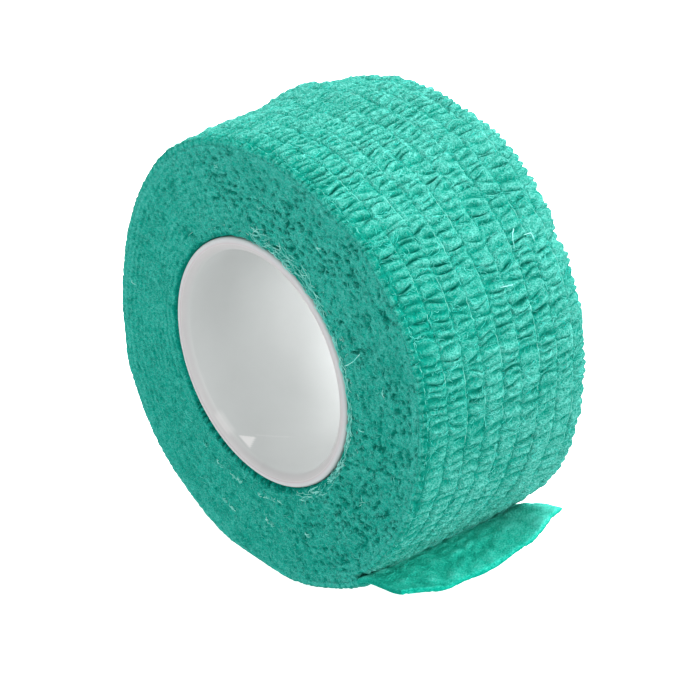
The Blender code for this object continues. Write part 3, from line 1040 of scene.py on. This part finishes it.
def build_pale_threads():
    """Loose thread ends round the core, and the few stray ones that the cloth sheds."""
    share = np.linspace(0, 1, PATH_STEPS)
    paths = []
    for number in range(THREAD_ENDS):
        front = number % 2 == 0
        side = -1 if front else 1
        start = rng.uniform(20, 380)
        if front and number < GATHERED_ENDS:
            start = rng.uniform(60, 215)
        sweep = rng.uniform(10, 42)
        radius = rng.uniform(16.2, 18.3)
        arc = share * sweep
        ripple = 0.16 * noise(arc / 1.9, number * 7.7, 81) + 0.28 * noise(arc / 6.0, number * 3.3, 82)
        lift = HALF_WIDTH - FACE_DISH * 0.8 + 0.10 + 0.07 * noise(arc / 2.5, number * 5.1, 83)
        lift = lift - 0.35 * (np.abs(2 * share - 1) ** 6)
        paths.append(place(start + arc, np.maximum(radius + ripple, CORE_OUTER + 0.12), side * lift))
    for places, lift in STRAYS:
        shares = np.linspace(0, 1, len(places))
        angle, radius, along = (np.interp(share, shares, x) for x in zip(*places))
        arch = lift * (1 - np.abs(2 * share - 1) ** 3)
        if places[0][2] == -HALF_WIDTH:
            paths.append(place(angle, radius, along - arch))
        else:
            paths.append(place(angle, form_radius(angle, along) + 0.16 + arch, along))
    thick = rng.uniform(*PALE_RADII, len(paths))
    thick[-len(STRAYS):] = STRAY_RADIUS
    tubes("loose_threads", np.stack(paths), thick, PALE_LOOKS, sides=4)


# Tufts on the front face: angle and radius of each, and how many short fibres it has.
TUFTS = (
    (325.9, 19.7, 5), (334, 19.7, 3), (337, 19.7, 3), (344, 19.2, 7), (347.5, 18.9, 4),
    (342.6, 24.1, 6), (345.6, 24.2, 5), (363, 21.9, 5), (366, 22.1, 5), (369, 22.3, 5),
    (383.8, 22, 5), (372, 18.3, 4), (368, 18.3, 4), (364, 18.5, 4), (360, 18.7, 4),
    (196, 24.6, 4), (178, 21, 4), (150, 22.6, 4), (104, 22.8, 3), (60, 21.5, 4),
)

# Frayed fibres at the tube's rim: the face they are on, how many, and the angles they spread over.
FRAYED = (
    (-1, 125, 126, 178),
    (-1, 100, 58, 128),
    (-1, 55, 24, 60),
    (1, 60, 0, 360),
)


def frayed_path(side, start):
    """One pale curly fibre near the rim. Where the fraying is wide it lies further out."""
    width = 0.62 + 1.28 * smooth(start, 124, 150) + 0.75 * smooth(60 - start, 0, 25)
    share = np.linspace(0, 1, 9)
    length = rng.uniform(0.6, 2.3)
    away = 0.30 - 0.14 * smooth(start, 124, 150) + width * rng.random()
    tilt = rng.normal(0, 0.10 + 0.13 * width) * length * (share - 0.5)
    bow = rng.normal(0, 0.05 + 0.07 * width) * 4 * share * (1 - share)
    wave = rng.normal(0, 0.05) * np.sin(2 * pi * share + rng.uniform(0, 6))
    radius = 16.0 + np.abs(away + tilt + bow + wave)
    turn = start + np.degrees(length * share / radius)
    lift = HALF_WIDTH + rng.uniform(0.0, 0.14) + 0.10 * np.sin(pi * share)
    lift = lift - 0.24 * np.abs(2 * share - 1) ** 4
    return place(turn, radius, side * lift)


def tuft_path(angle, radius):
    """One short fibre of a tuft on the front face."""
    share = np.linspace(-0.5, 0.5, 9)
    heading = rng.uniform(-0.9, 0.9)
    length = rng.uniform(0.35, 0.85)
    out = radius + rng.normal(0, 0.12) + length * share * sin(heading)
    out = out + rng.normal(0, 0.3) * share * share
    turn = angle + rng.normal(0, 0.7) + np.degrees(length * share * cos(heading) / radius)
    lift = HALF_WIDTH - 0.08 + rng.uniform(0.0, 0.12) + 0.14 * np.cos(pi * share)
    return place(turn, out, -lift)


def build_core_edge_fibres():
    """The frayed edge of the innermost turns, pale and curly, which leans over the tube's rim."""
    paths = []
    for side, count, first, last in FRAYED:
        paths += [frayed_path(side, rng.uniform(first, last)) for _ in range(count)]
    for angle, radius, count in TUFTS:
        paths += [tuft_path(angle, radius) for _ in range(count)]
    thick = rng.uniform(*FRAY_RADII, len(paths))
    tubes("core_edge_fibres", np.stack(paths), thick, FRAY_LOOKS, sides=4)


skin, threads = build_outer_turn()
front, back = build_wound_turns()
build_loose_end()
build_core()
build_elastic_threads(threads)
build_tread_fibres(skin)
build_face_fibres(front, back)
build_pale_threads()
build_core_edge_fibres()


# ---- studio

FLOOR_REACH = 3.0
WHITE = (1.0, 1.0, 1.0, 1.0)
FLOOR_LOOKS = {
    "Base Color": (0.93, 0.93, 0.93, 1.0),
    "Roughness": 0.9,
    "Emission Color": WHITE,
    "Emission Strength": 0.85,
}
# Round lamps: name, place, size across in metres, and power in watts.
LAMPS = (
    ("key", (0.0, 0.14, 0.68), 0.36, 4.1),
    ("side", (0.55, 0.10, 0.05), 0.50, 3.5),
    ("behind", (0.34, 0.46, 0.30), 0.40, 1.5),
    ("far_side", (-0.25, 0.45, 0.38), 0.40, 2.2),
)
LIT_PLACE = (0.0, 0.0, 0.03)
# The camera: its place and direction, and its focal length in pixels of the picture's width.
CAMERA_PLACE = (0.16269, -0.14419, 0.14674)
CAMERA_AIM = (-0.65478, 0.58318, -0.4808)
FOCAL_PIXELS = 2000.0
PICTURE_PIXELS = 680.0
SENSOR_WIDTH = 36.0


def build_floor():
    """A floor that shines a little, so that it stays white under the roll."""
    mesh = bpy.data.meshes.new("studio_floor")
    reach = FLOOR_REACH
    corners = [(-reach, -reach, 0), (reach, -reach, 0), (reach, reach, 0), (-reach, reach, 0)]
    mesh.from_pydata(corners, [], [(0, 1, 2, 3)])
    mesh.materials.append(new_material("floor_looks", lambda tree, where: FLOOR_LOOKS))
    floor = show("studio_floor", mesh)
    floor.visible_diffuse = False


def facing(direction):
    """Rotation of a lamp or camera that looks in this direction."""
    return Vector(direction).to_track_quat("-Z", "Y").to_euler()


def build_lamp(name, location, size, power):
    light = bpy.data.lights.new(name, "AREA")
    light.shape = "DISK"
    light.size = size
    light.energy = power
    lamp = show(name, light)
    lamp.location = location
    lamp.rotation_euler = facing(Vector(LIT_PLACE) - Vector(location))


def build_camera():
    data = bpy.data.cameras.new("camera")
    data.sensor_width = SENSOR_WIDTH
    data.lens = FOCAL_PIXELS * SENSOR_WIDTH / PICTURE_PIXELS
    data.clip_start = 0.01
    camera = show("camera", data)
    camera.location = CAMERA_PLACE
    camera.rotation_euler = facing(CAMERA_AIM)
    return camera


def build_studio():
    """White surroundings, the soft lamps and the camera."""
    scene = bpy.context.scene
    world = bpy.data.worlds.new("studio_world")
    world.use_nodes = True
    feed(world.node_tree, world.node_tree.nodes["Background"], {"Color": WHITE, "Strength": 1.0})
    scene.world = world
    for lamp in LAMPS:
        build_lamp(*lamp)
    scene.camera = build_camera()
    scene.view_settings.view_transform = "Standard"
    scene.view_settings.look = "None"


build_floor()
build_studio()
